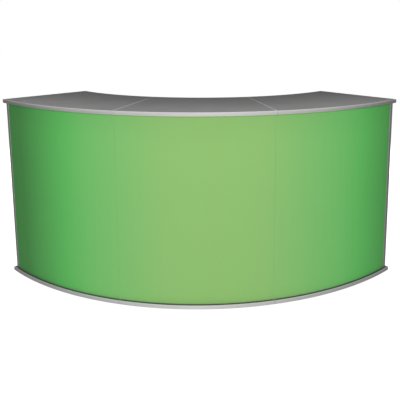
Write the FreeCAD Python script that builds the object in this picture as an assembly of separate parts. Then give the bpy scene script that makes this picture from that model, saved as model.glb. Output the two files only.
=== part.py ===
import FreeCAD, Part
import os
from math import asin, cos, degrees, radians, sin, sqrt

# Exhibition counter in the shape of a quarter ring, made of three segments that share their uprights.
# Sizes are in millimetres and angles in degrees. The convex front looks along -Y and the floor is at z = 0.
# An angle is measured from the front, positive towards +X. A sideways shift is positive towards +X as well.

# Plan of the ring
OUTER_RADIUS = 1500.0
BOARD_DEPTH = 500.0          # from the front edge of the boards to their rear edge
SEGMENT_ANGLE = 30.0
SEGMENT_NAMES = ("left", "centre", "right")
LINE_NAMES = ("left_end", "left_joint", "right_joint", "right_end")

# Boards and their edging
BOARD_THICKNESS = 20.0
CLEAR_HEIGHT = 938.0         # between the base boards and the worktops
BOARD_SEAM = 1.0
EDGING_THICKNESS = 3.0
EDGING_ROUND = 2.0

# Printed front panels and the magnetic tape behind them
PANEL_OVERHANG = 16.0        # how far the boards stand out past the panels
PANEL_THICKNESS = 3.0
PANEL_SEAM = 0.8
PANEL_FOOT_GAP = 0.3
PANEL_HEAD_GAP = 0.7
TAPE_THICKNESS = 1.5
TAPE_GLUE = 0.3              # adhesive between the panel and its tape
TAPE_WIDTH = 18.0
TAPE_MARGIN = 1.0
TAPE_GAP = 0.3               # between the tape and what it clings to

# Uprights, of rectangular tube with a flange plate welded to each end
UPRIGHT_WIDTH = 40.0
UPRIGHT_DEPTH = 25.0
TUBE_WALL = 2.0
TUBE_ROUND = 1.5
END_INSET = 7.0              # from the end of the boards to the side of the end uprights
STRIP_WIDTH = 24.0           # part of the front end uprights that shows beside the panels
STRIP_PROUD = 0.5
STRIP_CLEARANCE = 0.5
LAND_WIDTH = 24.0            # part of the front end uprights that lies behind the panels
REAR_INSET = 45.0            # from the inner edge of the boards to the rear uprights
FLANGE_WIDTH = 90.0
FLANGE_DEPTH = 60.0
FLANGE_THICKNESS = 4.0

# Screws with a button head and a hexagon socket
SCREW_EDGE = 12.0            # from the edge of a flange to the middle of its screws
FLANGE_SCREW = {"radius": 2.95, "grip": 12.0, "head_radius": 5.5, "head_height": 3.2, "socket": 4.0}
SMALL_SCREW = {"radius": 2.2, "grip": 9.0, "head_radius": 4.0, "head_height": 2.4, "socket": 2.5}
SOCKET_SHARE = 0.6           # depth of the socket as a share of the head
THREAD_GAP = 0.05
PASSAGE_GAP = 0.4

# Curved angle rails that hold the panels to the arc
RAIL_THICKNESS = 2.5
RAIL_HEIGHT = 25.0
RAIL_LEG = 22.0
RAIL_END_GAP = 3.0
RAIL_SCREW_INSET = 8.0       # from the inner edge of a rail to the middle of its screws
RAIL_SCREW_END = 90.0        # from the ends of a rail to its outer screws
RAIL_SCREW_COUNT = 3

# Shelves and their bearers
SHELF_LEVEL = 480.0          # upper face of the shelves above the base boards
SHELF_THICKNESS = 16.0
SHELF_SEAM = 2.0
SHELF_GAP = 3.0
SHELF_EDGING_THICKNESS = 2.0
SHELF_EDGING_ROUND = 1.0
BEARER_HEIGHT = 20.0
BEARER_WALL = 1.5
BRACKET_WIDTH = 30.0
BRACKET_LEG = 30.0
BRACKET_THICKNESS = 3.0
PIN_RADIUS = 3.0
PIN_REACH = 8.0              # into the shelf, and the same into the bearer
PIN_INSET = 60.0
PIN_SIDE = 10.0
PIN_GAP = 0.05

# Levelling feet
INSERT_HEIGHT = 30.0
INSERT_GAP = 0.1
STUD_RADIUS = 4.95
STUD_GAP = 0.05
STUD_HEAD_ROOM = 2.0         # from the top of the stud to the top of the insert
STUD_SEAT = 2.0              # plastic left under the stud
STUD_CHAMFER = 0.8
PAD_RADIUS = 17.0
PAD_DISC_HEIGHT = 2.6
PAD_HEIGHT = 5.0
PAD_FLATS = 28.0
PAD_CHAMFER = 0.6
PAD_CLEARANCE = 1.0          # between the pads and the base boards when the feet are screwed right in
FLANGE_STUD_GAP = 1.05
BOARD_STUD_GAP = 2.55

# Places that follow from the sizes above
HALF_ANGLE = SEGMENT_ANGLE * len(SEGMENT_NAMES) / 2.0
INNER_RADIUS = OUTER_RADIUS - BOARD_DEPTH
ARC_CENTRE_Y = (OUTER_RADIUS + INNER_RADIUS * cos(radians(HALF_ANGLE))) / 2.0
FLOOR_GAP = PAD_HEIGHT + PAD_CLEARANCE
BASE_TOP = FLOOR_GAP + BOARD_THICKNESS
TOP_UNDERSIDE = BASE_TOP + CLEAR_HEIGHT
PANEL_RADIUS = OUTER_RADIUS - PANEL_OVERHANG
PANEL_BACK = PANEL_RADIUS - PANEL_THICKNESS
TAPE_FRONT = PANEL_BACK - TAPE_GLUE
TAPE_BACK = TAPE_FRONT - TAPE_THICKNESS
RAIL_FRONT = TAPE_BACK - TAPE_GAP
STRIP_FRONT = PANEL_RADIUS + STRIP_PROUD
REAR_BACK = INNER_RADIUS + REAR_INSET
REAR_FRONT = REAR_BACK + UPRIGHT_DEPTH
BEARER_TOP = BASE_TOP + SHELF_LEVEL - SHELF_THICKNESS
BEARER_BOTTOM = BEARER_TOP - BEARER_HEIGHT
END_WIDTH = STRIP_WIDTH + LAND_WIDTH

ALONG = FreeCAD.Vector(1, 0, 0)
UP = FreeCAD.Vector(0, 0, 1)
DOWN = FreeCAD.Vector(0, 0, -1)


def place(radius, angle, shift=0.0, z=0.0):
    a = radians(angle)
    x = radius * sin(a) + shift * cos(a)
    y = ARC_CENTRE_Y - radius * cos(a) + shift * sin(a)
    return FreeCAD.Vector(x, y, z)


def outward(angle):
    return FreeCAD.Vector(sin(radians(angle)), -cos(radians(angle)), 0)


def on_circle(radius, edge, z):
    """Point of a circle on an edge beside a radial line: edge = (angle of the line, sideways shift)."""
    angle, shift = edge
    return place(radius, angle + degrees(asin(shift / radius)), 0.0, z)


def sector(inner, outer, start, end, z, height):
    """Slice of a ring between two straight edges, each given as (angle of a radial line, sideways shift)."""
    middle = (start[0] + degrees(asin(start[1] / outer)) + end[0] + degrees(asin(end[1] / outer))) / 2.0
    outer_arc = Part.Arc(on_circle(outer, start, z), place(outer, middle, 0.0, z), on_circle(outer, end, z))
    inner_arc = Part.Arc(on_circle(inner, end, z), place(inner, middle, 0.0, z), on_circle(inner, start, z))
    far_side = Part.LineSegment(on_circle(outer, end, z), on_circle(inner, end, z))
    near_side = Part.LineSegment(on_circle(inner, start, z), on_circle(outer, start, z))
    edges = [curve.toShape() for curve in (outer_arc, far_side, inner_arc, near_side)]
    return Part.Face(Part.Wire(edges)).extrude(UP * height)


def prism(line, outline, z, height):
    """Upright prism on a radial line, its outline given as (shift inwards from the end, radius) pairs."""
    points = [place(radius, line["angle"], line["inward"] * shift, z) for shift, radius in outline]
    return Part.Face(Part.makePolygon(points + points[:1])).extrude(UP * height)


def block(line, shifts, radii, z, height):
    (s0, s1), (r0, r1) = shifts, radii
    return prism(line, [(s0, r0), (s1, r0), (s1, r1), (s0, r1)], z, height)


def level_edges(solid):
    return [edge for edge in solid.Edges if edge.BoundBox.ZLength < 1e-6]


def upright_edges(solid):
    return [edge for edge in solid.Edges if edge.BoundBox.ZLength > 1e-6]


def rounded_sector(inner, outer, start, end, z, height, rounding):
    """Slice of a ring with rounded rims: a rounded ring, trimmed by a rounded bar along each straight edge."""
    axis = place(0.0, 0.0, 0.0, z)
    ring = Part.makeCylinder(outer, height, axis, UP).cut(Part.makeCylinder(inner, height, axis, UP))
    whole = ring.makeFillet(rounding, [edge for edge in level_edges(ring) if edge.Closed])
    for (angle, shift), inward in ((start, 1.0), (end, -1.0)):
        line = {"angle": angle, "inward": inward}
        near = inward * shift
        bar = block(line, (near, near + outer), (0.0, 2.0 * outer), z, height)
        rim = place(outer, angle, shift)
        rims = [edge for edge in level_edges(bar) if edge.CenterOfMass.distanceToLine(rim, UP) < 1e-6]
        whole = whole.common(bar.makeFillet(rounding, rims))
    return whole


def export(name, solids):
    solids = solids if isinstance(solids, list) else [solids]
    shape = solids[0] if len(solids) == 1 else Part.makeCompound(solids)
    shape.exportStep("parts/" + name + ".step")


def hexagon(centre, axis, arm, flats, depth):
    """Six-sided prism that runs along axis from centre, with a corner in the direction of arm."""
    corner = arm * (flats / 2.0 / cos(radians(30)) / arm.Length)
    corners = [centre + FreeCAD.Rotation(axis, 60.0 * turn).multVec(corner) for turn in range(6)]
    return Part.Face(Part.makePolygon(corners + corners[:1])).extrude(axis * depth)


def screw(spec, seat, direction, plate):
    """Button-head screw: the head bears on seat, and the shank runs along direction through a plate."""
    shank = Part.makeCylinder(spec["radius"], plate + spec["grip"], seat, direction)
    head = Part.makeCylinder(spec["head_radius"], spec["head_height"], seat, direction * -1)
    deep = spec["head_height"] * SOCKET_SHARE
    rim = [edge for edge in head.Edges if edge.Closed and (edge.CenterOfMass - seat).Length > deep]
    head = head.makeFillet(deep, rim)
    arm = direction.cross(UP) if abs(direction.z) < 0.5 else ALONG
    socket = hexagon(seat - direction * spec["head_height"], direction, arm, spec["socket"], deep)
    return shank.fuse(head).cut(socket).removeSplitter()


def hole(spec, seat, direction, depth, gap):
    return Part.makeCylinder(spec["radius"] + gap, depth, seat, direction)


def make_lines():
    """The four radial lines that carry uprights, each with the outlines of what stands on it."""
    lines = []
    for number, name in enumerate(LINE_NAMES):
        angle = -HALF_ANGLE + number * SEGMENT_ANGLE
        is_end = number in (0, len(LINE_NAMES) - 1)
        inward = -1.0 if number == len(LINE_NAMES) - 1 else 1.0
        line = {"name": name, "angle": angle, "inward": inward, "is_end": is_end}
        if is_end:
            tape_reach = END_INSET + END_WIDTH
            line["rear_shifts"] = (END_INSET, END_INSET + UPRIGHT_WIDTH)
            line["front_shifts"] = (END_INSET, END_INSET + END_WIDTH)
            line["flange_shifts"] = (END_INSET, END_INSET + FLANGE_WIDTH)
        else:
            tape_reach = UPRIGHT_WIDTH / 2.0
            line["rear_shifts"] = (-UPRIGHT_WIDTH / 2.0, UPRIGHT_WIDTH / 2.0)
            line["front_shifts"] = line["rear_shifts"]
            line["flange_shifts"] = (-FLANGE_WIDTH / 2.0, FLANGE_WIDTH / 2.0)
        flange_reach = max(line["flange_shifts"])
        line["front_face"] = sqrt(TAPE_BACK ** 2 - tape_reach ** 2) - TAPE_GAP
        line["front_back"] = line["front_face"] - UPRIGHT_DEPTH
        line["flange_front"] = min(line["front_face"], sqrt(PANEL_BACK ** 2 - flange_reach ** 2) - TAPE_GAP)
        lines.append(line)
    return lines


def middle(pair):
    return (pair[0] + pair[1]) / 2.0


def foot_spot(line, side):
    if side == "rear":
        return middle(line["rear_shifts"]), middle((REAR_BACK, REAR_FRONT))
    return middle(line["front_shifts"]), middle((line["front_back"], line["front_face"]))


def flange_screw_spots(line, side):
    """Screw places on a flange as (shift, radius), beside the tube where there is room and behind it."""
    low, high = line["flange_shifts"]
    if side == "rear":
        beside = REAR_BACK + SCREW_EDGE
        behind = REAR_BACK + FLANGE_DEPTH - SCREW_EDGE
    else:
        beside = line["flange_front"] - SCREW_EDGE
        behind = line["flange_front"] - FLANGE_DEPTH + SCREW_EDGE
    if line["is_end"]:
        rows = [(high - SCREW_EDGE, beside), (high - SCREW_EDGE, behind)]
        return rows + [(middle((low, high)), behind), (low + SCREW_EDGE, behind)]
    shifts = (low + SCREW_EDGE, high - SCREW_EDGE)
    return [(shift, radius) for shift in shifts for radius in (beside, behind)]


def spot(line, shift, radius, z):
    return place(radius, line["angle"], line["inward"] * shift, z)


def stepped_outline(shifts, back, face, wall=0.0):
    """Outline with a strip that shows beside the panel and a land set back behind the panel's end."""
    low, high = shifts
    step = END_INSET + STRIP_WIDTH
    land = [(low + wall, back + wall), (high - wall, back + wall), (high - wall, face - wall)]
    strip = [(step - wall, face - wall), (step - wall, STRIP_FRONT - wall), (low + wall, STRIP_FRONT - wall)]
    return land + strip


def bracket_screw_seats(line):
    """Place and direction of each bracket screw of a bearer: rear wall, rear lift, front wall, front lift."""
    shift = middle(line["rear_shifts"])
    seats = []
    for wall, into in ((REAR_FRONT, -1.0), (line["front_back"], 1.0)):
        centre = BRACKET_THICKNESS + (BRACKET_LEG - BRACKET_THICKNESS) / 2.0
        side_seat = spot(line, shift, wall - into * BRACKET_THICKNESS, BEARER_BOTTOM - centre)
        lift_seat = spot(line, shift, wall - into * centre, BEARER_BOTTOM - BRACKET_THICKNESS)
        seats.append((side_seat, outward(line["angle"]) * into))
        seats.append((lift_seat, UP))
    return seats


def pin_spots(line, shelf_inner, shelf_outer):
    shifts = [middle(line["rear_shifts"])] if line["is_end"] else [-PIN_SIDE, PIN_SIDE]
    radii = (shelf_inner + PIN_INSET, shelf_outer - PIN_INSET)
    return [(shift, radius) for shift in shifts for radius in radii]


def make_upright(line, side):
    """Tube with its two flange plates, drilled for the flange screws, the foot and the bracket screws."""
    tube_height = CLEAR_HEIGHT - 2.0 * FLANGE_THICKNESS
    tube_base = BASE_TOP + FLANGE_THICKNESS
    stepped = side == "front" and line["is_end"]
    if side == "rear":
        radii = (REAR_BACK, REAR_FRONT)
        flange_radii = (REAR_BACK, REAR_BACK + FLANGE_DEPTH)
        shifts = line["rear_shifts"]
    else:
        radii = (line["front_back"], line["front_face"])
        flange_radii = (line["flange_front"] - FLANGE_DEPTH, line["flange_front"])
        shifts = line["front_shifts"]
    if stepped:
        outer = prism(line, stepped_outline(shifts, *radii), tube_base, tube_height)
        hollow = prism(line, stepped_outline(shifts, *radii, TUBE_WALL), tube_base, tube_height)
    else:
        inner_shifts = (shifts[0] + TUBE_WALL, shifts[1] - TUBE_WALL)
        inner_radii = (radii[0] + TUBE_WALL, radii[1] - TUBE_WALL)
        outer = block(line, shifts, radii, tube_base, tube_height)
        hollow = block(line, inner_shifts, inner_radii, tube_base, tube_height)
    tube = outer.makeFillet(TUBE_ROUND, upright_edges(outer)).cut(hollow)
    flanges = []
    for z in (BASE_TOP, TOP_UNDERSIDE - FLANGE_THICKNESS):
        if stepped:
            outline = stepped_outline(line["flange_shifts"], *flange_radii)
            flanges.append(prism(line, outline, z, FLANGE_THICKNESS))
        else:
            flanges.append(block(line, line["flange_shifts"], flange_radii, z, FLANGE_THICKNESS))
    cuts = []
    for shift, radius in flange_screw_spots(line, side):
        for z in (BASE_TOP, TOP_UNDERSIDE - FLANGE_THICKNESS):
            cuts.append(hole(FLANGE_SCREW, spot(line, shift, radius, z), UP, FLANGE_THICKNESS, PASSAGE_GAP))
    shift, radius = foot_spot(line, side)
    foot_hole = STUD_RADIUS + FLANGE_STUD_GAP
    cuts.append(Part.makeCylinder(foot_hole, FLANGE_THICKNESS, spot(line, shift, radius, BASE_TOP), UP))
    wall_screw = 0 if side == "rear" else 2
    seat, direction = bracket_screw_seats(line)[wall_screw]
    reach = BRACKET_THICKNESS + SMALL_SCREW["grip"]
    cuts.append(hole(SMALL_SCREW, seat, direction, reach, THREAD_GAP))
    return tube.multiFuse(flanges).cut(cuts).removeSplitter()


def make_edged_board(inner, outer, start, end, z, height, thickness, rounding):
    """Board and the edging round it; start and end are (angle, shift) edges of the finished board."""
    whole = rounded_sector(inner, outer, start, end, z, height, rounding)
    core_start = (start[0], start[1] + thickness)
    core_end = (end[0], end[1] - thickness)
    core = sector(inner + thickness, outer - thickness, core_start, core_end, z, height)
    return core, whole.cut(core)


def board_edges(left, right, seam, end_inset=0.0):
    """Edges of the slice between two lines: half a seam short of a joint, and end_inset short of an end."""
    start = (left["angle"], end_inset if left["is_end"] else seam / 2.0)
    end = (right["angle"], -(end_inset if right["is_end"] else seam / 2.0))
    return start, end


def rail_edges(left, right):
    gaps = []
    for line in (left, right):
        gaps.append(max(line["flange_shifts"]) + RAIL_END_GAP)
    return (left["angle"], gaps[0]), (right["angle"], -gaps[1])


def make_rail(left, right, on_base):
    start, end = rail_edges(left, right)
    if on_base:
        leg_z = BASE_TOP
        wall_z = BASE_TOP
    else:
        leg_z = TOP_UNDERSIDE - RAIL_THICKNESS
        wall_z = TOP_UNDERSIDE - RAIL_HEIGHT
    leg = sector(RAIL_FRONT - RAIL_LEG, RAIL_FRONT, start, end, leg_z, RAIL_THICKNESS)
    wall = sector(RAIL_FRONT - RAIL_THICKNESS, RAIL_FRONT, start, end, wall_z, RAIL_HEIGHT)
    return leg.fuse(wall).removeSplitter()


def rail_screw_seats(left, right):
    """Screw places on the leg of a rail, as (point on the upper rail, point on the base rail)."""
    radius = RAIL_FRONT - RAIL_LEG + RAIL_SCREW_INSET
    start, end = rail_edges(left, right)
    first = start[0] + degrees(asin((start[1] + RAIL_SCREW_END) / radius))
    last = end[0] + degrees(asin((end[1] - RAIL_SCREW_END) / radius))
    seats = []
    for number in range(RAIL_SCREW_COUNT):
        angle = first + (last - first) * number / (RAIL_SCREW_COUNT - 1)
        upper = place(radius, angle, 0.0, TOP_UNDERSIDE - RAIL_THICKNESS)
        lower = place(radius, angle, 0.0, BASE_TOP + RAIL_THICKNESS)
        seats.append((upper, lower))
    return seats


def make_panel(left, right):
    """Printed panel and its four strips of magnetic tape."""
    end_trim = END_INSET + STRIP_WIDTH + STRIP_CLEARANCE
    start, end = board_edges(left, right, PANEL_SEAM, end_trim)
    base = BASE_TOP + PANEL_FOOT_GAP
    height = CLEAR_HEIGHT - PANEL_FOOT_GAP - PANEL_HEAD_GAP
    panel = sector(PANEL_BACK, PANEL_RADIUS, start, end, base, height)
    tape_base = base + TAPE_MARGIN
    tape_height = height - 2.0 * TAPE_MARGIN
    strips = []
    for (angle, trim), side in ((start, 1.0), (end, -1.0)):
        near = trim + side * TAPE_MARGIN
        shifts = sorted((near, near + side * TAPE_WIDTH))
        edges = [(angle, shift) for shift in shifts]
        strips.append(sector(TAPE_BACK, TAPE_FRONT, *edges, tape_base, tape_height))
    for z in (tape_base, tape_base + tape_height - TAPE_WIDTH):
        strips.append(sector(TAPE_BACK, TAPE_FRONT, *rail_edges(left, right), z, TAPE_WIDTH))
    return panel, strips


def make_foot(line, side):
    """Levelling foot: threaded stud, and a pad with flats for a spanner and a socket for the stud."""
    shift, radius = foot_spot(line, side)
    stud_top = BASE_TOP + FLANGE_THICKNESS + INSERT_HEIGHT - STUD_HEAD_ROOM
    stud = Part.makeCylinder(STUD_RADIUS, stud_top - STUD_SEAT, spot(line, shift, radius, STUD_SEAT), UP)
    stud = stud.makeChamfer(STUD_CHAMFER, [edge for edge in level_edges(stud) if edge.Closed])
    disc = Part.makeCylinder(PAD_RADIUS, PAD_DISC_HEIGHT, spot(line, shift, radius, 0.0), UP)
    disc = disc.makeChamfer(PAD_CHAMFER, [edge for edge in level_edges(disc) if edge.Closed])
    flats_base = spot(line, shift, radius, PAD_CHAMFER)
    flats = hexagon(flats_base, UP, ALONG, PAD_FLATS, PAD_HEIGHT - PAD_CHAMFER)
    socket = Part.makeCylinder(STUD_RADIUS + STUD_GAP, PAD_HEIGHT, spot(line, shift, radius, STUD_SEAT), UP)
    return stud, disc.fuse(flats).cut(socket).removeSplitter()


def make_insert(line, side):
    """Block in the lower end of an upright, tapped for the stud of its foot."""
    if side == "rear":
        shifts, radii = line["rear_shifts"], (REAR_BACK, REAR_FRONT)
    else:
        shifts, radii = line["front_shifts"], (line["front_back"], line["front_face"])
    margin = TUBE_WALL + INSERT_GAP
    base = BASE_TOP + FLANGE_THICKNESS
    inner_shifts = (shifts[0] + margin, shifts[1] - margin)
    inner_radii = (radii[0] + margin, radii[1] - margin)
    body = block(line, inner_shifts, inner_radii, base, INSERT_HEIGHT)
    shift, radius = foot_spot(line, side)
    bore = Part.makeCylinder(STUD_RADIUS + STUD_GAP, INSERT_HEIGHT, spot(line, shift, radius, base), UP)
    return body.cut(bore)


def make_bearer(line, shelf_inner, shelf_outer):
    """Tube between the uprights of one line, with holes for the shelf pins and bracket screws."""
    shifts = line["rear_shifts"]
    radii = (REAR_FRONT, line["front_back"])
    outer = block(line, shifts, radii, BEARER_BOTTOM, BEARER_HEIGHT)
    inner_shifts = (shifts[0] + BEARER_WALL, shifts[1] - BEARER_WALL)
    hollow_height = BEARER_HEIGHT - 2.0 * BEARER_WALL
    hollow = block(line, inner_shifts, radii, BEARER_BOTTOM + BEARER_WALL, hollow_height)
    cuts = [hollow]
    for shift, radius in pin_spots(line, shelf_inner, shelf_outer):
        start = spot(line, shift, radius, BEARER_TOP)
        cuts.append(Part.makeCylinder(PIN_RADIUS + PIN_GAP, PIN_REACH, start, DOWN))
    for seat, direction in bracket_screw_seats(line)[1::2]:
        cuts.append(hole(SMALL_SCREW, seat, direction, BRACKET_THICKNESS + SMALL_SCREW["grip"], THREAD_GAP))
    return outer.cut(cuts)


def make_brackets(line):
    """Angle brackets under the two ends of a bearer."""
    centre = middle(line["rear_shifts"])
    shifts = (centre - BRACKET_WIDTH / 2.0, centre + BRACKET_WIDTH / 2.0)
    seats = bracket_screw_seats(line)
    brackets = []
    for number, (wall, into) in enumerate(((REAR_FRONT, -1.0), (line["front_back"], 1.0))):
        thin = sorted((wall, wall - into * BRACKET_THICKNESS))
        long = sorted((wall, wall - into * BRACKET_LEG))
        side = block(line, shifts, thin, BEARER_BOTTOM - BRACKET_LEG, BRACKET_LEG)
        lift = block(line, shifts, long, BEARER_BOTTOM - BRACKET_THICKNESS, BRACKET_THICKNESS)
        cuts = []
        for seat, direction in seats[2 * number:2 * number + 2]:
            cuts.append(hole(SMALL_SCREW, seat, direction, BRACKET_THICKNESS, PASSAGE_GAP))
        brackets.append(side.fuse(lift).cut(cuts).removeSplitter())
    return brackets


def make_counter():
    os.makedirs("parts", exist_ok=True)
    lines = make_lines()
    stations = [(line, side) for line in lines for side in ("front", "rear")]
    shelf_inner = REAR_FRONT + SHELF_GAP
    shelf_outer = min(line["front_back"] for line in lines) - SHELF_GAP

    flange_screws, top_holes, base_holes = [], [], []
    for line, side in stations:
        for shift, radius in flange_screw_spots(line, side):
            upper = spot(line, shift, radius, TOP_UNDERSIDE - FLANGE_THICKNESS)
            lower = spot(line, shift, radius, BASE_TOP + FLANGE_THICKNESS)
            reach = FLANGE_THICKNESS + FLANGE_SCREW["grip"]
            flange_screws.append(screw(FLANGE_SCREW, upper, UP, FLANGE_THICKNESS))
            flange_screws.append(screw(FLANGE_SCREW, lower, DOWN, FLANGE_THICKNESS))
            top_holes.append(hole(FLANGE_SCREW, upper, UP, reach, THREAD_GAP))
            base_holes.append(hole(FLANGE_SCREW, lower, DOWN, reach, THREAD_GAP))
        shift, radius = foot_spot(line, side)
        foot_hole = STUD_RADIUS + BOARD_STUD_GAP
        underside = spot(line, shift, radius, FLOOR_GAP)
        base_holes.append(Part.makeCylinder(foot_hole, BOARD_THICKNESS, underside, UP))
    export("flange_screws", flange_screws)

    segments = list(zip(SEGMENT_NAMES, lines[:-1], lines[1:]))
    rail_screws, top_rails, base_rails = [], [], []
    for name, left, right in segments:
        top_rail = make_rail(left, right, on_base=False)
        base_rail = make_rail(left, right, on_base=True)
        for upper, lower in rail_screw_seats(left, right):
            reach = RAIL_THICKNESS + SMALL_SCREW["grip"]
            rail_screws.append(screw(SMALL_SCREW, upper, UP, RAIL_THICKNESS))
            rail_screws.append(screw(SMALL_SCREW, lower, DOWN, RAIL_THICKNESS))
            top_holes.append(hole(SMALL_SCREW, upper, UP, reach, THREAD_GAP))
            base_holes.append(hole(SMALL_SCREW, lower, DOWN, reach, THREAD_GAP))
            top_rail = top_rail.cut(hole(SMALL_SCREW, upper, UP, RAIL_THICKNESS, PASSAGE_GAP))
            base_rail = base_rail.cut(hole(SMALL_SCREW, lower, DOWN, RAIL_THICKNESS, PASSAGE_GAP))
        top_rails.append(top_rail)
        base_rails.append(base_rail)
    export("rail_screws", rail_screws)
    export("top_panel_rails", top_rails)
    export("base_panel_rails", base_rails)

    shelf_edgings, shelf_pins, pin_holes = [], [], []
    for line in lines:
        for shift, radius in pin_spots(line, shelf_inner, shelf_outer):
            foot = spot(line, shift, radius, BEARER_TOP - PIN_REACH)
            shelf_pins.append(Part.makeCylinder(PIN_RADIUS, 2.0 * PIN_REACH, foot, UP))
            pin_holes.append(Part.makeCylinder(PIN_RADIUS + PIN_GAP, 2.0 * PIN_REACH, foot, UP))
    export("shelf_pins", shelf_pins)

    for name, left, right in segments:
        start, end = board_edges(left, right, BOARD_SEAM)
        plan = (INNER_RADIUS, OUTER_RADIUS, start, end)
        finish = (BOARD_THICKNESS, EDGING_THICKNESS, EDGING_ROUND)
        board, edging = make_edged_board(*plan, TOP_UNDERSIDE, *finish)
        export("top_board_" + name, board.cut(top_holes))
        export("top_edging_" + name, edging)
        board, edging = make_edged_board(*plan, FLOOR_GAP, *finish)
        export("base_board_" + name, board.cut(base_holes))
        export("base_edging_" + name, edging.cut(base_holes))
        panel, strips = make_panel(left, right)
        export("front_panel_" + name, panel)
        export("panel_tape_" + name, strips)
        start, end = board_edges(left, right, SHELF_SEAM, END_INSET)
        plan = (shelf_inner, shelf_outer, start, end, BEARER_TOP)
        finish = (SHELF_THICKNESS, SHELF_EDGING_THICKNESS, SHELF_EDGING_ROUND)
        shelf, edging = make_edged_board(*plan, *finish)
        export("shelf_" + name, shelf.cut(pin_holes))
        shelf_edgings.append(edging)
    export("shelf_edgings", shelf_edgings)

    brackets, bracket_screws, inserts = [], [], []
    for line in lines:
        export("shelf_bearer_" + line["name"], make_bearer(line, shelf_inner, shelf_outer))
        brackets.extend(make_brackets(line))
        for seat, direction in bracket_screw_seats(line):
            bracket_screws.append(screw(SMALL_SCREW, seat, direction, BRACKET_THICKNESS))
    export("bearer_brackets", brackets)
    export("bracket_screws", bracket_screws)

    for line, side in stations:
        export(side + "_upright_" + line["name"], make_upright(line, side))
        inserts.append(make_insert(line, side))
        stud, pad = make_foot(line, side)
        export("foot_stud_" + side + "_" + line["name"], stud)
        export("foot_pad_" + side + "_" + line["name"], pad)
    export("foot_inserts", inserts)


make_counter()
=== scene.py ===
import bmesh
import bpy
from math import asin, atan2, cos, pi, radians, sin
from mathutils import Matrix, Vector


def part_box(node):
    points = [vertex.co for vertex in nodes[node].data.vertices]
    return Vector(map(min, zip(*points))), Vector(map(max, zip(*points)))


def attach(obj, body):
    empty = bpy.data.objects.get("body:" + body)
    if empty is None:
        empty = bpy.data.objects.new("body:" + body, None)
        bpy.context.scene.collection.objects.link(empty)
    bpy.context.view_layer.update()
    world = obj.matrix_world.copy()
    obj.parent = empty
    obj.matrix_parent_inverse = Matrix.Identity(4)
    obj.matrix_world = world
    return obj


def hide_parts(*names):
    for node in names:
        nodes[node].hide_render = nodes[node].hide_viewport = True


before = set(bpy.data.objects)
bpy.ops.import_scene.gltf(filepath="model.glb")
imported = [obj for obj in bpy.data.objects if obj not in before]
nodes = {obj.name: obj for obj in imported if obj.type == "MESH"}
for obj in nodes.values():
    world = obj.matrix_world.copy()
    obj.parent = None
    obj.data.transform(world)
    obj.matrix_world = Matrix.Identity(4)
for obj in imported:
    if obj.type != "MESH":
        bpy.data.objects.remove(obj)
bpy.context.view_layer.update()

segmentNames = ("left", "centre", "right")
lineNames = ("left_end", "left_joint", "right_joint", "right_end")
feet = [(side, line) for side in ("front", "rear") for line in lineNames]
print("frame loaded", len(nodes), "nodes")

# The arc that every curved piece follows, in metres and radians
arc = {
    "outerRadius": 1.5,
    "innerRadius": 1.0,
    "segmentAngle": radians(30),
    "halfAngle": radians(45),
}
arc["centreY"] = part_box("top_edging_centre")[0].y + arc["outerRadius"]
lineAngles = [number * arc["segmentAngle"] - arc["halfAngle"] for number in range(len(lineNames))]


def arcPoint(radius, angle, z):
    return Vector((radius * sin(angle), arc["centreY"] - radius * cos(angle), z))


def segmentLimits(number):
    return lineAngles[number], lineAngles[number + 1]


# Node helpers
def addNode(tree, kind, inputs=None, **settings):
    node = tree.nodes.new(kind)
    for name, value in settings.items():
        setattr(node, name, value)
    for key, value in (inputs or {}).items():
        socket = node.inputs[key]
        if isinstance(value, bpy.types.NodeSocket):
            tree.links.new(value, socket)
        else:
            socket.default_value = value
    return node


def calc(tree, operation, first, second=0.0):
    return addNode(tree, "ShaderNodeMath", {0: first, 1: second}, operation=operation).outputs[0]


def between(tree, share, first, second):    # from first at 0 to second at 1
    return addNode(tree, "ShaderNodeMix", {0: share, 2: first, 3: second}, data_type="FLOAT").outputs[0]


def mixColour(tree, share, first, second):
    return addNode(tree, "ShaderNodeMix", {0: share, 6: first, 7: second}, data_type="RGBA").outputs[2]


def mapped(tree, value, source, target):
    inputs = {"Value": value, "From Min": source[0], "From Max": source[1]}
    inputs.update({"To Min": target[0], "To Max": target[1]})
    return addNode(tree, "ShaderNodeMapRange", inputs).outputs[0]


def vectorOf(tree, x, y, z):
    return addNode(tree, "ShaderNodeCombineXYZ", {0: x, 1: y, 2: z}).outputs[0]


def partsOf(tree, vector):
    return addNode(tree, "ShaderNodeSeparateXYZ", {0: vector}).outputs


def noise(tree, vector, grain):
    scale, detail, roughness = grain
    inputs = {"Vector": vector, "Scale": scale, "Detail": detail, "Roughness": roughness}
    return addNode(tree, "ShaderNodeTexNoise", inputs).outputs["Fac"]


def ramp(tree, factor, stops):
    node = addNode(tree, "ShaderNodeValToRGB", {0: factor})
    elements = node.color_ramp.elements
    while len(elements) < len(stops):
        elements.new(0.5)
    for element, (position, colour) in zip(elements, stops):
        element.position = position
        element.color = (*colour, 1.0)
    return node.outputs[0]


def grey(level, tint=(1.0, 1.0, 1.0)):
    return tuple(level * part for part in tint)


# Coordinates on the object, plain and round the arc
def objectPlace(tree):
    return addNode(tree, "ShaderNodeTexCoord").outputs["Object"]


def arcCoordinates(tree):
    place = objectPlace(tree)
    parts = partsOf(tree, place)
    inward = calc(tree, "SUBTRACT", arc["centreY"], parts["Y"])
    squareX = calc(tree, "MULTIPLY", parts["X"], parts["X"])
    squareY = calc(tree, "MULTIPLY", inward, inward)
    return {
        "place": place,
        "parts": parts,
        "angle": calc(tree, "ARCTAN2", parts["X"], inward),
        "radius": calc(tree, "SQRT", calc(tree, "ADD", squareX, squareY)),
        "height": parts["Z"],
    }


# Materials
grainRange = (0.3, 0.7)     # the part of a noise's range that holds nearly all of it


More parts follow.
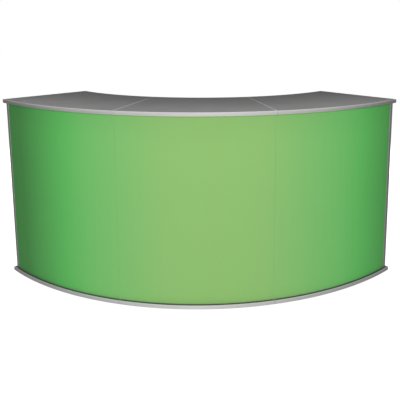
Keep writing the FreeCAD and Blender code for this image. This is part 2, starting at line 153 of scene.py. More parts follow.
def newMaterial(name):
    material = bpy.data.materials.new(name)
    material.use_nodes = True
    tree = material.node_tree
    return material, tree, tree.nodes["Principled BSDF"]


def twoTones(tree, factor, look):
    low, high = look["toneRange"]
    stops = [(low, grey(look["dark"], look["tint"])), (high, grey(look["light"], look["tint"]))]
    return ramp(tree, factor, stops)


def finishShader(tree, shader, look, tone, grain):
    tree.links.new(tone, shader.inputs["Base Color"])
    tree.links.new(mapped(tree, grain, grainRange, look["roughness"]), shader.inputs["Roughness"])
    shader.inputs["Metallic"].default_value = look["metallic"]
    shader.inputs["Specular IOR Level"].default_value = look["gloss"]
    inputs = {"Height": grain, "Strength": look["bump"], "Distance": look["bumpDepth"]}
    tree.links.new(addNode(tree, "ShaderNodeBump", inputs).outputs[0], shader.inputs["Normal"])


# Dark laminate of worktops, base boards and shelves: fine grain over wide, faint clouds
laminateLook = {
    "dark": 0.087, "light": 0.121, "tint": (1.0, 0.995, 0.985), "toneRange": (0.32, 0.68),
    "grain": (620.0, 4.0, 0.6), "cloud": (5.0, 3.0, 0.5), "grainShare": 0.65, "cloudShare": 0.35,
    "metallic": 0.0, "gloss": 0.15, "roughness": (0.42, 0.52), "bump": 0.12, "bumpDepth": 0.0003,
}


def laminateMaterial(look):
    material, tree, shader = newMaterial("darkLaminate")
    place = objectPlace(tree)
    grain = noise(tree, place, look["grain"])
    clouds = calc(tree, "MULTIPLY", noise(tree, place, look["cloud"]), look["cloudShare"])
    mixed = calc(tree, "ADD", clouds, calc(tree, "MULTIPLY", grain, look["grainShare"]))
    finishShader(tree, shader, look, twoTones(tree, mixed, look), grain)
    return material


# Brushed metal, with lines along the arc on edging and rails and upright on the tubes
edgingLook = {
    "dark": 0.66, "light": 0.80, "tint": (1.0, 0.985, 0.975), "toneRange": grainRange,
    "grain": (1.0, 4.0, 0.65), "fineness": 1400.0, "stretch": 26.0,
    "metallic": 0.9, "gloss": 0.5, "roughness": (0.28, 0.40), "bump": 0.08, "bumpDepth": 0.0002,
}
tubeLook = {
    "dark": 0.52, "light": 0.64, "tint": (1.0, 1.0, 0.99), "toneRange": grainRange,
    "grain": (1.0, 4.0, 0.65), "fineness": 1100.0, "stretch": 14.0,
    "metallic": 0.85, "gloss": 0.5, "roughness": (0.32, 0.44), "bump": 0.08, "bumpDepth": 0.0002,
}


def brushedMaterial(name, look, upright):
    material, tree, shader = newMaterial(name)
    around = arcCoordinates(tree)
    if upright:
        axes = around["parts"]["X"], around["parts"]["Y"], around["parts"]["Z"]
    else:
        axes = around["height"], around["radius"], around["angle"]
    across = calc(tree, "MULTIPLY", axes[0], look["fineness"])
    depth = calc(tree, "MULTIPLY", axes[1], look["fineness"])
    along = calc(tree, "MULTIPLY", axes[2], look["stretch"])
    lines = noise(tree, vectorOf(tree, across, depth, along), look["grain"])
    finishShader(tree, shader, look, twoTones(tree, lines, look), lines)
    return material


# Print on the front of the panels over an off-white core: a green gradient, greener to the ends, with painted
# shade that darkens it towards the ends
printAndShadeLook = {
    "stops": [
        (0.00, (0.292, 0.552, 0.168)),
        (0.20, (0.291, 0.561, 0.175)),
        (0.42, (0.230, 0.584, 0.173)),
        (0.56, (0.188, 0.606, 0.163)),
        (0.65, (0.146, 0.600, 0.140)),
        (0.71, (0.128, 0.560, 0.128)),
        (0.78, (0.117, 0.500, 0.117)),
        (0.87, (0.098, 0.412, 0.100)),
        (0.96, (0.080, 0.328, 0.080)),
    ],
    "lean": radians(3.4),       # how far the middle of the gradient and its painted shade is to the right, so the right side is painted lighter
    "reach": (radians(45), radians(47.5)),      # from there to its end on the left and on the right
    "climb": (1.03, 0.98),      # painted light and shade: level at the foot and at the head of a panel, lighter at the foot
    "mottle": (0.975, 1.025),
    "core": (0.60, 0.61, 0.60),
    "inkDepth": 0.0006,
    "grain": (900.0, 3.0, 0.7),
    "metallic": 0.0, "gloss": 0.3, "roughness": (0.50, 0.58), "bump": 0.05, "bumpDepth": 0.0002,
}


def printAndShadeMaterial(look, faceRadius, low, high):
    material, tree, shader = newMaterial("panelPrintAndShade")
    around = arcCoordinates(tree)
    leaning = calc(tree, "SUBTRACT", around["angle"], look["lean"])
    leftShare = calc(tree, "DIVIDE", leaning, -look["reach"][0])
    rightShare = calc(tree, "DIVIDE", leaning, look["reach"][1])
    # printed gradient and painted shade together: lighter in the middle, darker to the ends
    printed = ramp(tree, calc(tree, "MAXIMUM", leftShare, rightShare), look["stops"])
    grain = noise(tree, around["place"], look["grain"])
    # painted light and shade: lighter at the foot of each panel and darker at its head, times a random mottle
    climb = mapped(tree, around["height"], (low, high), look["climb"])
    level = calc(tree, "MULTIPLY", climb, mapped(tree, grain, grainRange, look["mottle"]))
    shaded = addNode(tree, "ShaderNodeVectorMath", {0: printed, "Scale": level}, operation="SCALE").outputs[0]
    front = calc(tree, "GREATER_THAN", around["radius"], faceRadius - look["inkDepth"])
    finishShader(tree, shader, look, mixColour(tree, front, (*look["core"], 1.0), shaded), grain)
    return material


# Plated, rubbery and moulded surfaces with a fine speckle
zincLook = {
    "dark": 0.46, "light": 0.66, "tint": (0.97, 0.99, 1.0), "toneRange": grainRange,
    "grain": (260.0, 3.0, 0.6), "metallic": 0.9, "gloss": 0.5,
    "roughness": (0.26, 0.42), "bump": 0.1, "bumpDepth": 0.0004,
}
# painted shade: darker grey for the sides of the edging in the seam between two boards
seamShadeLook = {
    "dark": 0.26, "light": 0.32, "tint": (1.0, 1.0, 1.0), "toneRange": grainRange,
    "grain": (600.0, 3.0, 0.6), "metallic": 0.2, "gloss": 0.5,
    "roughness": (0.45, 0.55), "bump": 0.1, "bumpDepth": 0.0004,
}
tapeLook = {
    "dark": 0.014, "light": 0.030, "tint": (1.0, 0.93, 0.88), "toneRange": grainRange,
    "grain": (700.0, 3.0, 0.6), "metallic": 0.0, "gloss": 0.5,
    "roughness": (0.6, 0.8), "bump": 0.3, "bumpDepth": 0.0004,
}
footLook = {
    "dark": 0.012, "light": 0.024, "tint": (1.0, 1.0, 1.0), "toneRange": grainRange,
    "grain": (500.0, 3.0, 0.6), "metallic": 0.0, "gloss": 0.5,
    "roughness": (0.45, 0.6), "bump": 0.25, "bumpDepth": 0.0004,
}


def speckledMaterial(name, look):
    material, tree, shader = newMaterial(name)
    grain = noise(tree, objectPlace(tree), look["grain"])
    finishShader(tree, shader, look, twoTones(tree, grain, look), grain)
    return material


panelLow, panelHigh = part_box("front_panel_centre")
panelFace = arc["centreY"] - panelLow.y     # radius of the printed face
laminate = laminateMaterial(laminateLook)
silver = brushedMaterial("silverEdging", edgingLook, upright=False)
tube = brushedMaterial("satinAluminium", tubeLook, upright=True)
railMetal = brushedMaterial("railAluminium", tubeLook, upright=False)
zinc = speckledMaterial("zincSteel", zincLook)
seamShadeBand = speckledMaterial("seamShadeBand", seamShadeLook)
rubber = speckledMaterial("magnetTape", tapeLook)
footPlastic = speckledMaterial("footPlastic", footLook)
panelPrintAndShade = printAndShadeMaterial(printAndShadeLook, panelFace, panelLow.z, panelHigh.z)
print("materials made")


# CAD nodes that keep their shape take a better finish
def finishNodes(prefixes, material):
    for name, node in nodes.items():
        if not name.startswith(prefixes):
            continue
        for index in range(max(1, len(node.material_slots))):
            if index >= len(node.material_slots):
                node.data.materials.append(material)
            node.material_slots[index].material = material


finishNodes(("top_board", "base_board", "shelf_left", "shelf_centre", "shelf_right"), laminate)
finishNodes(("front_upright", "rear_upright", "shelf_bearer"), tube)
finishNodes(("top_panel_rails", "base_panel_rails"), railMetal)
finishNodes(("bearer_brackets", "shelf_pins", "foot_inserts"), zinc)
finishNodes(("shelf_edgings",), silver)
finishNodes(("panel_tape",), rubber)
finishNodes(("foot_pad",), footPlastic)
print("nodes finished")

# Pieces made by Geometry Nodes
sharpAngle = radians(40)
weldDistance = 1e-6


def newTree(name, sockets):
    tree = bpy.data.node_groups.new(name, "GeometryNodeTree")
    tree.interface.new_socket("Geometry", in_out="INPUT", socket_type="NodeSocketGeometry")
    for kind, socketNames in sockets.items():
        for socketName in socketNames:
            tree.interface.new_socket(socketName, in_out="INPUT", socket_type="NodeSocket" + kind)
    tree.interface.new_socket("Geometry", in_out="OUTPUT", socket_type="NodeSocketGeometry")
    return tree, tree.nodes.new("NodeGroupInput").outputs


def dressTree(tree, shape, finishes):
    dressed = addNode(tree, "GeometryNodeRealizeInstances", {"Geometry": shape}).outputs[0]
    for finish in finishes:
        dressed = addNode(tree, "GeometryNodeSetMaterial", {"Geometry": dressed, **finish}).outputs[0]
    tree.links.new(dressed, tree.nodes.new("NodeGroupOutput").inputs[0])
    return tree


def arcPosition(tree, radius, angle, z):
    x = calc(tree, "MULTIPLY", radius, calc(tree, "SINE", angle))
    reach = calc(tree, "MULTIPLY", radius, calc(tree, "COSINE", angle))
    return vectorOf(tree, x, calc(tree, "SUBTRACT", arc["centreY"], reach), z)


def joinShapes(tree, first, second):
    joined = addNode(tree, "GeometryNodeJoinGeometry")
    tree.links.new(first, joined.inputs[0])
    tree.links.new(second, joined.inputs[0])
    return joined.outputs[0]


def treeMesh(tree, name, values, places=(), axes=()):
    start = bpy.data.meshes.new(name + "Holder")
    start.from_pydata(places, [], [])
    if axes:
        field = start.attributes.new("headAxis", "FLOAT_VECTOR", "POINT")
        for entry, axis in zip(field.data, axes):
            entry.vector = axis
    holder = bpy.data.objects.new(name + "Holder", start)
    bpy.context.scene.collection.objects.link(holder)
    modifier = holder.modifiers.new("shape", "NODES")
    modifier.node_group = tree
    for item in tree.interface.items_tree:
        if item.in_out == "INPUT" and item.name in values:
            modifier[item.identifier] = values[item.name]
    bpy.context.view_layer.update()
    ready = holder.evaluated_get(bpy.context.evaluated_depsgraph_get())
    mesh = bpy.data.meshes.new_from_object(ready)
    mesh.name = name
    holder.modifiers.remove(modifier)
    bpy.data.objects.remove(holder)
    return mesh


def addPiece(name, mesh, body, replaced):
    piece = bpy.data.objects.new(name, mesh)
    bpy.context.scene.collection.objects.link(piece)
    for polygon in mesh.polygons:
        polygon.use_smooth = True
    mesh.set_sharp_from_angle(angle=sharpAngle)
    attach(piece, body)
    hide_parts(replaced)


# Printed panels: a tree bends a grid to the arc and gives it its thickness
def panelTree():
    tree, given = newTree("curvedPanel", {
        "Float": ("Face Radius", "Thickness", "Start Angle", "End Angle", "Base Height", "Panel Height"),
        "Int": ("Columns", "Rows"),
        "Material": ("Material",),
    })
    size = {"Size X": 1.0, "Size Y": 1.0, "Vertices X": given["Columns"], "Vertices Y": given["Rows"]}
    grid = addNode(tree, "GeometryNodeMeshGrid", size).outputs["Mesh"]
    flat = partsOf(tree, addNode(tree, "GeometryNodeInputPosition").outputs[0])
    across = calc(tree, "ADD", flat["X"], 0.5)
    climb = calc(tree, "ADD", flat["Y"], 0.5)
    angle = between(tree, across, given["Start Angle"], given["End Angle"])
    backRadius = calc(tree, "SUBTRACT", given["Face Radius"], given["Thickness"])
    z = calc(tree, "ADD", calc(tree, "MULTIPLY", climb, given["Panel Height"]), given["Base Height"])
    bend = {"Geometry": grid, "Position": arcPosition(tree, backRadius, angle, z)}
    bent = addNode(tree, "GeometryNodeSetPosition", bend).outputs[0]
    outward = {"Mesh": bent, "Offset Scale": given["Thickness"], "Individual": False}
    thick = addNode(tree, "GeometryNodeExtrudeMesh", outward, mode="FACES").outputs["Mesh"]
    back = addNode(tree, "GeometryNodeFlipFaces", {"Mesh": bent}).outputs[0]
    weld = {"Geometry": joinShapes(tree, thick, back), "Distance": weldDistance}
    merged = addNode(tree, "GeometryNodeMergeByDistance", weld).outputs[0]
    return dressTree(tree, merged, [{"Material": given["Material"]}])


panelShape = {"thickness": 0.003, "seam": 0.0004, "endTrim": 0.0315, "columns": 161, "rows": 9}
bendTree = panelTree()
for number, name in enumerate(segmentNames):
    start, end = segmentLimits(number)
    low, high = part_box("front_panel_" + name)
    startTrim = panelShape["endTrim"] if number == 0 else panelShape["seam"] / 2
    endTrim = panelShape["endTrim"] if number == len(segmentNames) - 1 else panelShape["seam"] / 2
    mesh = treeMesh(bendTree, "printedPanel_" + name, {
        "Face Radius": panelFace,
        "Thickness": panelShape["thickness"],
        "Start Angle": start + asin(startTrim / panelFace),
        "End Angle": end - asin(endTrim / panelFace),
        "Base Height": low.z,
        "Panel Height": high.z - low.z,
        "Columns": panelShape["columns"],
        "Rows": panelShape["rows"],
        "Material": panelPrintAndShade,
    })
    addPiece("printedPanel_" + name, mesh, "panel_" + name, "front_panel_" + name)
print("panels made")


# Edging: a tree carries the rounded section of the band round the outline of a board
def edgingTree():
    tree, given = newTree("edgingBand", {
        "Float": ("Outer Radius", "Inner Radius", "Start Angle", "End Angle", "Start Inset", "End Inset",
                  "Thickness", "Rounding", "Base Height", "Band Height", "Hole Radius", "Hole Depth"),
        "Int": ("Steps", "Round Steps", "Hole Sides"),
        "Bool": ("Start Joint", "End Joint"),
        "Material": ("Material", "Seam Shade Material"),
    })
    spot = addNode(tree, "GeometryNodeInputPosition").outputs[0]
    flat = partsOf(tree, spot)

    # Section, with its two outer corners rounded
    sides = {"Width": given["Thickness"], "Height": given["Band Height"]}
    blank = addNode(tree, "GeometryNodeCurvePrimitiveQuadrilateral", sides).outputs[0]
    cornerRound = calc(tree, "MULTIPLY", calc(tree, "LESS_THAN", flat["X"], 0.0), given["Rounding"])
    corners = {"Curve": blank, "Count": given["Round Steps"], "Radius": cornerRound}
    section = addNode(tree, "GeometryNodeFilletCurve", corners, mode="POLY").outputs[0]
    counted = addNode(tree, "GeometryNodeAttributeDomainSize", {0: section}, component="CURVE")
    rows = counted.outputs["Point Count"]

    # Grid of section rows and outline columns, whose last row and column close on the first
    columns = calc(tree, "MULTIPLY", calc(tree, "ADD", given["Steps"], 1.0), 2.0)
    lastColumn = calc(tree, "SUBTRACT", columns, 1.0)
    size = {"Size X": 1.0, "Size Y": 1.0}
    size["Vertices X"] = calc(tree, "ADD", columns, 1.0)
    size["Vertices Y"] = calc(tree, "ADD", rows, 1.0)
    grid = addNode(tree, "GeometryNodeMeshGrid", size).outputs["Mesh"]
    column = calc(tree, "MULTIPLY", calc(tree, "ADD", flat["X"], 0.5), columns)
    row = calc(tree, "MULTIPLY", calc(tree, "ADD", flat["Y"], 0.5), rows)
    row = calc(tree, "MODULO", calc(tree, "ROUND", row), rows)
    step = calc(tree, "MODULO", calc(tree, "ROUND", column), columns)
    kept = addNode(tree, "GeometryNodeCaptureAttribute", {0: grid}, domain="FACE")
    kept.capture_items.new("FLOAT", "Column")
    tree.links.new(column, kept.inputs[1])

    # Inset and height of each point from the section, its angle and radius from the outline
    take = {0: section, "Value": spot, "Index": row}
    taken = addNode(tree, "GeometryNodeSampleIndex", take, data_type="FLOAT_VECTOR", domain="POINT")
    profile = partsOf(tree, taken.outputs[0])
    inset = calc(tree, "ADD", profile["X"], calc(tree, "MULTIPLY", given["Thickness"], 0.5))
    middle = calc(tree, "ADD", given["Base Height"], calc(tree, "MULTIPLY", given["Band Height"], 0.5))
    z = calc(tree, "ADD", profile["Y"], middle)
    rearSide = calc(tree, "GREATER_THAN", step, calc(tree, "ADD", given["Steps"], 0.5))
    reached = between(tree, rearSide, step, calc(tree, "SUBTRACT", lastColumn, step))
    outside = calc(tree, "SUBTRACT", given["Outer Radius"], inset)
    inside = calc(tree, "ADD", given["Inner Radius"], inset)
    radius = between(tree, rearSide, outside, inside)
    startTurn = calc(tree, "DIVIDE", calc(tree, "ADD", given["Start Inset"], inset), radius)
    endTurn = calc(tree, "DIVIDE", calc(tree, "ADD", given["End Inset"], inset), radius)
    first = calc(tree, "ADD", given["Start Angle"], calc(tree, "ARCSINE", startTurn))
    last = calc(tree, "SUBTRACT", given["End Angle"], calc(tree, "ARCSINE", endTurn))
    angle = between(tree, calc(tree, "DIVIDE", reached, given["Steps"]), first, last)
    carry = {"Geometry": kept.outputs[0], "Position": arcPosition(tree, radius, angle, z)}
    carried = addNode(tree, "GeometryNodeSetPosition", carry).outputs[0]
    weld = {"Geometry": carried, "Distance": weldDistance}
    closed = addNode(tree, "GeometryNodeMergeByDistance", weld).outputs[0]
    outward = addNode(tree, "GeometryNodeFlipFaces", {"Mesh": closed}).outputs[0]

    # Room for the studs of the feet, which pass where two boards meet
    drill = {"Vertices": given["Hole Sides"], "Radius": given["Hole Radius"], "Depth": given["Hole Depth"]}
    bit = addNode(tree, "GeometryNodeMeshCylinder", drill).outputs["Mesh"]
    spots = {"Points": given["Geometry"], "Instance": bit}
    bits = addNode(tree, "GeometryNodeInstanceOnPoints", spots).outputs[0]
    drilling = {"Mesh 1": outward, "Mesh 2": bits}
    settings = {"operation": "DIFFERENCE", "solver": "MANIFOLD"}
    drilled = addNode(tree, "GeometryNodeMeshBoolean", drilling, **settings).outputs[0]

    # Silver all round, with the sides that meet the next board in a darker grey, painted shade in the seam
    # between the boards
    jointSides = []
    for flag, side in (("End Joint", given["Steps"]), ("Start Joint", lastColumn)):
        offset = calc(tree, "SUBTRACT", kept.outputs[1], calc(tree, "ADD", side, 0.5))
        here = calc(tree, "LESS_THAN", calc(tree, "ABSOLUTE", offset), 0.25)
        jointSides.append(calc(tree, "MULTIPLY", here, given[flag]))
    chosen = calc(tree, "MAXIMUM", *jointSides)
    finishes = [{"Material": given["Material"]}, {"Material": given["Seam Shade Material"], "Selection": chosen}]
    return dressTree(tree, drilled, finishes)


boardEdging = {
    "thickness": 0.003, "rounding": 0.002, "seam": 0.001, "steps": 120, "roundSteps": 5,
    "holeRadius": 0.0075, "holeSides": 32,
}
bandTree = edgingTree()
studBoxes = [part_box("foot_stud_" + side + "_" + line) for side, line in feet]
studPlaces = [(low + high) / 2 for low, high in studBoxes]
studLength = studBoxes[0][1].z - studBoxes[0][0].z
for level in ("top", "base"):
    for number, name in enumerate(segmentNames):
        node = level + "_edging_" + name
        low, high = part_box(node)
        start, end = segmentLimits(number)
        startJoint = number > 0
        endJoint = number < len(segmentNames) - 1
        pieceName = level + "Edging_" + name
        mesh = treeMesh(bandTree, pieceName, {
            "Outer Radius": arc["outerRadius"],
            "Inner Radius": arc["innerRadius"],
            "Start Angle": start,
            "End Angle": end,
            "Start Inset": boardEdging["seam"] / 2 if startJoint else 0.0,
            "End Inset": boardEdging["seam"] / 2 if endJoint else 0.0,
            "Thickness": boardEdging["thickness"],
            "Rounding": boardEdging["rounding"],
            "Base Height": low.z,
            "Band Height": high.z - low.z,
            "Steps": boardEdging["steps"],
            "Round Steps": boardEdging["roundSteps"],
            "Hole Radius": boardEdging["holeRadius"],
            "Hole Depth": studLength,
            "Hole Sides": boardEdging["holeSides"],
            "Start Joint": startJoint,
            "End Joint": endJoint,
            "Material": silver,
            "Seam Shade Material": seamShadeBand,
        }, studPlaces if level == "base" else ())
        addPiece(pieceName, mesh, "frame", node)
print("edging made")


# Studs of the levelling feet: a tree winds the thread round the core
def studTree():
    tree, given = newTree("threadedStud", {
        "Float": ("Radius", "Thread Depth", "Pitch", "Length"),
        "Int": ("Core Sides", "Turn Steps", "Ridge Corners"),
        "Vector": ("Foot",),
        "Material": ("Material",),
    })
    coreRadius = calc(tree, "SUBTRACT", given["Radius"], given["Thread Depth"])
    bar = {"Vertices": given["Core Sides"], "Radius": coreRadius, "Depth": given["Length"]}
    core = addNode(tree, "GeometryNodeMeshCylinder", bar).outputs["Mesh"]
    halfUp = vectorOf(tree, 0.0, 0.0, calc(tree, "MULTIPLY", given["Length"], 0.5))
    standing = addNode(tree, "GeometryNodeTransform", {"Geometry": core, "Translation": halfUp}).outputs[0]
    wound = calc(tree, "SUBTRACT", given["Length"], calc(tree, "MULTIPLY", given["Pitch"], 2.0))
    turns = {"Resolution": given["Turn Steps"], "Rotations": calc(tree, "DIVIDE", wound, given["Pitch"])}
    turns.update({"Start Radius": coreRadius, "End Radius": coreRadius, "Height": wound})
    coil = addNode(tree, "GeometryNodeCurveSpiral", turns).outputs[0]
    ridge = {"Resolution": given["Ridge Corners"], "Radius": given["Thread Depth"]}
    profile = addNode(tree, "GeometryNodeCurvePrimitiveCircle", ridge).outputs[0]
    sweep = {"Curve": coil, "Profile Curve": profile, "Fill Caps": True}
    thread = addNode(tree, "GeometryNodeCurveToMesh", sweep).outputs[0]
    onePitch = vectorOf(tree, 0.0, 0.0, given["Pitch"])
    raised = addNode(tree, "GeometryNodeTransform", {"Geometry": thread, "Translation": onePitch}).outputs[0]
    stud = {"Geometry": joinShapes(tree, standing, raised), "Translation": given["Foot"]}
    placed = addNode(tree, "GeometryNodeTransform", stud).outputs[0]
    return dressTree(tree, placed, [{"Material": given["Material"]}])


studShape = {"depth": 0.0006, "pitch": 0.0015, "coreSides": 32, "turnSteps": 28, "ridgeCorners": 4}
windTree = studTree()
for (side, line), (low, high) in zip(feet, studBoxes):
    node = "foot_stud_" + side + "_" + line
    middle = (low + high) / 2
    pieceName = "threadedStud_" + side + "_" + line
    mesh = treeMesh(windTree, pieceName, {
        "Radius": (high.x - low.x) / 2,
        "Thread Depth": studShape["depth"],
        "Pitch": studShape["pitch"],
        "Length": high.z - low.z,
        "Core Sides": studShape["coreSides"],
        "Turn Steps": studShape["turnSteps"],
        "Ridge Corners": studShape["ridgeCorners"],
        "Foot": (middle.x, middle.y, low.z),
        "Material": zinc,
    })
    addPiece(pieceName, mesh, "foot_" + side + "_" + line, node)
print("studs made")


# Screws: a tree raises the head from the shank, sinks its socket and sets one on each seat
def screwTree(domeSteps):
    tree, given = newTree("buttonScrew", {
        "Float": ("Shank Radius", "Shank Length", "Head Radius", "Head Height", "Rounding",
                  "Socket Width", "Socket Depth"),
        "Int": ("Sides",),
        "Material": ("Material",),
    })

    def grow(shape, top, rise, scale):
        pull = {"Mesh": shape, "Offset": vectorOf(tree, 0.0, 0.0, rise), "Individual": False}
        if top is not None:
            pull["Selection"] = top
        pulled = addNode(tree, "GeometryNodeExtrudeMesh", pull, mode="FACES").outputs
        sized = {"Geometry": pulled["Mesh"], "Selection": pulled["Top"], "Scale": scale}
        return addNode(tree, "GeometryNodeScaleElements", sized, domain="FACE").outputs[0], pulled["Top"]

    bar = {"Vertices": given["Sides"], "Radius": given["Shank Radius"]}
    disc = addNode(tree, "GeometryNodeMeshCircle", bar, fill_type="NGON").outputs[0]
    down = vectorOf(tree, 0.0, 0.0, calc(tree, "MULTIPLY", given["Shank Length"], -1.0))
    tip = addNode(tree, "GeometryNodeTransform", {"Geometry": disc, "Translation": down}).outputs[0]
    shape, top = grow(tip, None, given["Shank Length"], 1.0)
    shape, top = grow(shape, top, 0.0, calc(tree, "DIVIDE", given["Head Radius"], given["Shank Radius"]))
    shape, top = grow(shape, top, calc(tree, "SUBTRACT", given["Head Height"], given["Rounding"]), 1.0)

    # Dome, ring by ring on a quarter circle
    ring = given["Head Radius"]
    for step in range(domeSteps):
        before, after = step / domeSteps * pi / 2, (step + 1) / domeSteps * pi / 2
        rise = calc(tree, "MULTIPLY", given["Rounding"], sin(after) - sin(before))
        inset = calc(tree, "MULTIPLY", given["Rounding"], 1.0 - cos(after))
        nextRing = calc(tree, "SUBTRACT", given["Head Radius"], inset)
        shape, top = grow(shape, top, rise, calc(tree, "DIVIDE", nextRing, ring))
        ring = nextRing

    # Socket: the ring is drawn in to six flats and sunk
    corner = calc(tree, "MULTIPLY", given["Socket Width"], 0.5 / cos(pi / 6))
    shape, top = grow(shape, top, 0.0, calc(tree, "DIVIDE", corner, ring))
    spot = partsOf(tree, addNode(tree, "GeometryNodeInputPosition").outputs[0])
    turn = calc(tree, "FLOORED_MODULO", calc(tree, "ARCTAN2", spot["Y"], spot["X"]), pi / 3)
    reach = calc(tree, "DIVIDE", cos(pi / 6), calc(tree, "COSINE", calc(tree, "SUBTRACT", turn, pi / 6)))
    flatX, flatY = calc(tree, "MULTIPLY", spot["X"], reach), calc(tree, "MULTIPLY", spot["Y"], reach)
    flats = {"Geometry": shape, "Selection": top, "Position": vectorOf(tree, flatX, flatY, spot["Z"])}
    shape = addNode(tree, "GeometryNodeSetPosition", flats).outputs[0]
    shape, top = grow(shape, top, calc(tree, "MULTIPLY", given["Socket Depth"], -1.0), 1.0)

    end = addNode(tree, "GeometryNodeFlipFaces", {"Mesh": tip}).outputs[0]
    weld = {"Geometry": joinShapes(tree, shape, end), "Distance": weldDistance}
    screw = addNode(tree, "GeometryNodeMergeByDistance", weld).outputs[0]
    axis = addNode(tree, "GeometryNodeInputNamedAttribute", {"Name": "headAxis"}, data_type="FLOAT_VECTOR")
    turned = addNode(tree, "FunctionNodeAlignRotationToVector", {"Vector": axis.outputs[0]}, axis="Z")
    seated = {"Points": given["Geometry"], "Instance": screw, "Rotation": turned.outputs[0]}
    placed = addNode(tree, "GeometryNodeInstanceOnPoints", seated).outputs[0]
    return dressTree(tree, placed, [{"Material": given["Material"]}])


# The loose parts of a CAD node, each as its points
def looseParts(node):
    work = bmesh.new()
    work.from_mesh(nodes[node].data)
    bmesh.ops.remove_doubles(work, verts=work.verts, dist=weldDistance)
    for vertex in work.verts:
        vertex.tag = False
    parts = []
    for first in work.verts:
        if first.tag:
            continue
        first.tag = True
        part = [first]
        for vertex in part:         # the list grows as it is walked
            for edge in vertex.link_edges:
                other = edge.other_vert(vertex)
                if not other.tag:
                    other.tag = True
                    part.append(other)
        parts.append([vertex.co.copy() for vertex in part])
    work.free()
    return parts


def reachOf(points, direction):
    reaches = [point.dot(direction) for point in points]
    return min(reaches), max(reaches)


lyingLimit = 1.05       # a screw lower than this many head widths lies along a line of uprights


# Seat of a screw, the way its head points, and the length of its shank
def screwSeat(points, size):
    axis, side, rise = Vector((0, 0, 1)), Vector((1, 0, 0)), Vector((0, 1, 0))
    low, high = reachOf(points, axis)
    if high - low < lyingLimit * 2 * size["headRadius"]:
        x, y = sum(reachOf(points, side)) / 2, sum(reachOf(points, rise)) / 2
        bearing = atan2(x, arc["centreY"] - y)
        angle = min(lineAngles, key=lambda lineAngle: abs(lineAngle - bearing))
        axis, side, rise = Vector((sin(angle), -cos(angle), 0)), Vector((cos(angle), sin(angle), 0)), axis
        low, high = reachOf(points, axis)
    centre = side * sum(reachOf(points, side)) / 2 + rise * sum(reachOf(points, rise)) / 2
    wide = (size["shankRadius"] + size["headRadius"]) / 2
    rim = [point for point in points if (point - centre).cross(axis).length > wide]
    shank = high - low - size["headHeight"]
    if sum(reachOf(rim, axis)) > low + high:
        return centre + axis * (high - size["headHeight"]), axis, shank
    return centre + axis * (low + size["headHeight"]), -axis, shank


screwShape = {"socketShare": 0.6, "sides": 24, "domeSteps": 4}
flangeScrew = {"shankRadius": 0.00295, "headRadius": 0.0055, "headHeight": 0.0032, "socketWidth": 0.004}
smallScrew = {"shankRadius": 0.0022, "headRadius": 0.004, "headHeight": 0.0024, "socketWidth": 0.0025}
turnTree = screwTree(screwShape["domeSteps"])
for name, size in (("flange", flangeScrew), ("rail", smallScrew), ("bracket", smallScrew)):
    seats = [screwSeat(points, size) for points in looseParts(name + "_screws")]
    places, axes, shanks = zip(*seats)
    socketDepth = size["headHeight"] * screwShape["socketShare"]
    mesh = treeMesh(turnTree, name + "Screws", {
        "Shank Radius": size["shankRadius"],
        "Shank Length": min(shanks),
        "Head Radius": size["headRadius"],
        "Head Height": size["headHeight"],
        "Rounding": socketDepth,
        "Socket Width": size["socketWidth"],
        "Socket Depth": socketDepth,
        "Sides": screwShape["sides"],
        "Material": zinc,
    }, places, axes)
    addPiece(name + "Screws", mesh, "frame", name + "_screws")
print("screws made")

# Studio: floor and world are white to the camera, and the metal mirrors a softer picture of them, with a
# painted reflection that the floor gives the metal only
studio = {
    "floorSize": 40.0,
    "floorGrey": 0.62,
    "floorRoughness": 0.9,
    "glow": 0.87,               # lifts the floor to white in the picture, under its shadow
    # painted reflection: the floor's grey as the metal mirrors it, darker than the floor is
    "mirroredGrey": 0.12,
    "sheen": [                  # painted reflection: the floor glows for the metal only, by bearing in degrees, brighter ahead and dimmer to the sides
        (0, 0.74), (40, 0.52), (65, 0.33), (80, 0.19), (95, 0.05), (112, 0.06), (135, 0.36), (180, 0.55),
    ],
    "sheenCentre": 0.1,         # the bearings are taken from here on the middle line
    "ambient": 0.23,
    "white": 1.0,
    "front": ((-1.0, 0.35), (1.0, 0.17)),       # range of direction, and the level mirrored there
    "rear": ((0.35, 1.0), (0.0, 0.06)),
    "overhead": ((0.15, 0.7), (0.0, 0.40)),
}


def floorMaterial():
    material, tree, shader = newMaterial("paleFloor")
    rays = addNode(tree, "ShaderNodeLightPath").outputs
    plain = (*grey(studio["floorGrey"]), 1.0)
    mirroredTone = (*grey(studio["mirroredGrey"]), 1.0)
    tone = mixColour(tree, rays["Is Glossy Ray"], plain, mirroredTone)
    parts = partsOf(tree, objectPlace(tree))
    sideways = calc(tree, "ABSOLUTE", parts["X"])
    forward = calc(tree, "SUBTRACT", studio["sheenCentre"], parts["Y"])
    bearing = calc(tree, "DIVIDE", calc(tree, "ARCTAN2", sideways, forward), pi)
    sheen = ramp(tree, bearing, [(turn / 180.0, grey(level)) for turn, level in studio["sheen"]])
    # painted reflection of the floor in the metal, by bearing
    paintedReflection = calc(tree, "MULTIPLY", rays["Is Glossy Ray"], sheen)
    seen = calc(tree, "MULTIPLY", rays["Is Camera Ray"], studio["glow"])
    tree.links.new(tone, shader.inputs["Base Color"])
    tree.links.new(calc(tree, "ADD", seen, paintedReflection), shader.inputs["Emission Strength"])
    shader.inputs["Emission Color"].default_value = (1.0, 1.0, 1.0, 1.0)
    shader.inputs["Roughness"].default_value = studio["floorRoughness"]
    shader.inputs["Specular IOR Level"].default_value = 0.0
    return material


half = studio["floorSize"] / 2
floorCorners = [(-half, -half, 0), (half, -half, 0), (half, half, 0), (-half, half, 0)]
floorMesh = bpy.data.meshes.new("floor")
floorMesh.from_pydata(floorCorners, [], [(0, 1, 2, 3)])
floorMesh.materials.append(floorMaterial())
floor = bpy.data.objects.new("floor", floorMesh)
bpy.context.scene.collection.objects.link(floor)

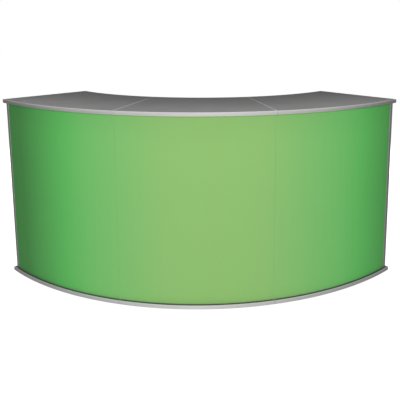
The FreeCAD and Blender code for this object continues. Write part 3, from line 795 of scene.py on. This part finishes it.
world = bpy.data.worlds.new("studio")
world.use_nodes = True
bpy.context.scene.world = world
sky = world.node_tree
rays = addNode(sky, "ShaderNodeLightPath").outputs
direction = partsOf(sky, addNode(sky, "ShaderNodeTexCoord").outputs["Generated"])
front = mapped(sky, direction["Y"], *studio["front"])
rear = mapped(sky, direction["Y"], *studio["rear"])
overhead = mapped(sky, direction["Z"], *studio["overhead"])
reflected = calc(sky, "ADD", calc(sky, "ADD", front, rear), overhead)
lit = between(sky, rays["Is Glossy Ray"], studio["ambient"], reflected)
shown = between(sky, rays["Is Camera Ray"], lit, studio["white"])
background = sky.nodes["Background"]
sky.links.new(shown, background.inputs["Strength"])
background.inputs["Color"].default_value = (1.0, 1.0, 1.0, 1.0)

# Lamps: one in front, two behind, and a narrow one above the front edge of each segment
keyLamp = {"power": 89.0, "size": (2.6, 1.2), "place": (0.2, -3.9, 1.75), "target": (0.0, -0.2, 0.55)}
rearLamp = {"power": 55.0, "size": (1.6, 0.8), "place": (2.0, 3.2, 1.2), "target": (0.0, 0.2, 0.5)}
rimLamp = {"power": 3.2, "size": (0.78, 0.10), "radius": 1.52, "height": 1.38}


def areaLamp(name, power, size, place, target):
    data = bpy.data.lights.new(name, "AREA")
    data.energy = power
    data.shape = "RECTANGLE"
    data.size, data.size_y = size
    lamp = bpy.data.objects.new(name, data)
    lamp.location = place
    lamp.rotation_euler = (Vector(target) - Vector(place)).to_track_quat("-Z", "Y").to_euler()
    lamp.visible_camera = False
    lamp.visible_glossy = False
    bpy.context.scene.collection.objects.link(lamp)
    return lamp


areaLamp("keyLight", **keyLamp)
for name, mirror in (("rearLightLeft", -1.0), ("rearLightRight", 1.0)):
    x, y, z = rearLamp["place"]
    areaLamp(name, rearLamp["power"], rearLamp["size"], (mirror * x, y, z), rearLamp["target"])
for number, name in enumerate(segmentNames):
    bearing = sum(segmentLimits(number)) / 2
    above = arcPoint(rimLamp["radius"], bearing, rimLamp["height"])
    below = above - Vector((0, 0, 1))
    lamp = areaLamp("rimLight_" + name, rimLamp["power"], rimLamp["size"], above, below)
    lamp.rotation_euler.z = bearing
print("studio made")

# Camera in front, its lens shifted part of the way to the photograph's off-centre crop
view = {
    "place": (0.176, -2.9105, 1.4047),
    "pitch": 0.1648,
    "yaw": 0.0003,
    "focal": 553.6,             # in pixels of the 400-pixel frame
    "frame": 400.0,
    "sensor": 36.0,
    "shift": (-0.08, -0.22),
}
cameraData = bpy.data.cameras.new("camera")
cameraData.sensor_width = view["sensor"]
cameraData.lens = view["focal"] / view["frame"] * view["sensor"]
cameraData.shift_x, cameraData.shift_y = view["shift"]
camera = bpy.data.objects.new("camera", cameraData)
camera.location = view["place"]
camera.rotation_euler = (pi / 2 - view["pitch"], 0.0, view["yaw"])
bpy.context.scene.collection.objects.link(camera)
bpy.context.scene.camera = camera
bpy.context.scene.view_settings.view_transform = "Standard"
print("camera placed")
